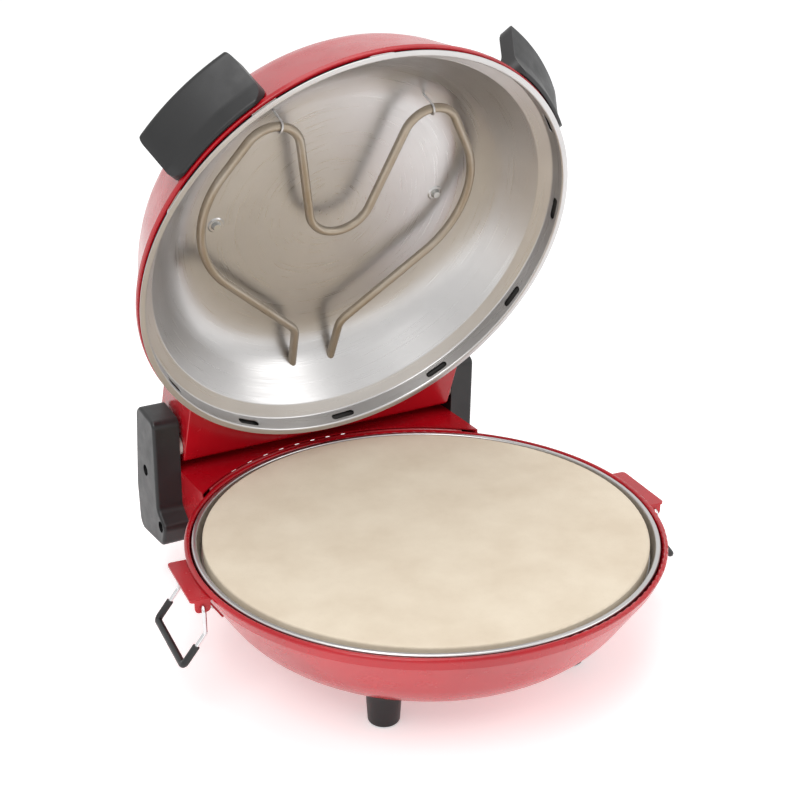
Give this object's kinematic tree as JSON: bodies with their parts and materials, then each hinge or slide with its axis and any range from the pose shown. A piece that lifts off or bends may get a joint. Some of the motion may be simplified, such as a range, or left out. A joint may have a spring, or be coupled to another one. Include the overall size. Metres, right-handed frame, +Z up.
{
  "type": "electric pizza maker",
  "caption": "Round countertop pizza oven with a hinged dome lid, a stone plate in a steel base, a looped heating element, side bails and short feet, shown open.",
  "frame": {"origin": "on the table, under the middle of the opened appliance's box", "axes": "+Z up, hinge axis along X, +Y towards the hinge at the back"},
  "size_m": [0.3848, 0.3796, 0.4213],
  "materials": {
    "red_enamel": "gloss red enamel on pressed steel",
    "bright_steel": "satin stainless sheet",
    "element_steel": "dull, straw-coloured element tube",
    "plated_steel": "zinc-plated",
    "bright_wire": "chromed wire",
    "black_sleeve": "matte heat-proof sleeve",
    "black_plastic": "fine-grained black moulding",
    "white_nylon": "plain nylon",
    "stone": "unglazed fireclay",
    "ceramic": "glazed ceramic"
  },
  "bodies": {
    "base": {"base_bowl": "red_enamel", "base_liner": "bright_steel", "lower_element": "element_steel", "lower_clips": "bright_steel", "lower_collars": "element_steel", "foot_1": "black_plastic", "foot_2": "black_plastic", "foot_3": "black_plastic", "foot_4": "black_plastic", "foot_screws": "plated_steel", "base_posts": "plated_steel", "hinge_box": "red_enamel", "inlet_gland": "black_plastic", "terminal_block": "ceramic", "hinge_arm_right": "black_plastic", "hinge_arm_left": "black_plastic", "arm_screws": "plated_steel", "hinge_bushes": "white_nylon", "bracket_right": "red_enamel", "bracket_left": "red_enamel", "bracket_rivets": "plated_steel", "pizza_stone": "stone"},
    "lid": {"lid_shell": "red_enamel", "lid_reflector": "bright_steel", "lid_block": "red_enamel", "upper_element": "element_steel", "upper_collars": "element_steel", "element_hook_right": "bright_steel", "element_hook_left": "bright_steel", "plate_washers": "bright_steel", "plate_screws": "plated_steel", "lid_posts": "plated_steel", "hinge_pins": "plated_steel", "lid_handle_right": "black_plastic", "lid_handle_left": "black_plastic"},
    "bail_right": {"bail_wire_right": "bright_wire", "bail_sleeve_right": "black_sleeve"},
    "bail_left": {"bail_wire_left": "bright_wire", "bail_sleeve_left": "black_sleeve"}
  },
  "joints": [
    {"name": "lid_hinge", "type": "hinge", "parent": "base", "child": "lid", "pos_m": [0, 0.15029, 0.111], "axis": [1, 0, 0], "range_deg": [0, 68.5]},
    {"name": "bail_right_swing", "type": "hinge", "parent": "base", "child": "bail_right", "pos_m": [0.17118, -0.0375, 0.082], "axis": [-0.0976, -0.9952, 0], "range_deg": [0, 100]},
    {"name": "bail_left_swing", "type": "hinge", "parent": "base", "child": "bail_left", "pos_m": [-0.17118, -0.00393, 0.082], "axis": [0.0976, 0.9952, 0], "range_deg": [0, 100]}
  ]
}
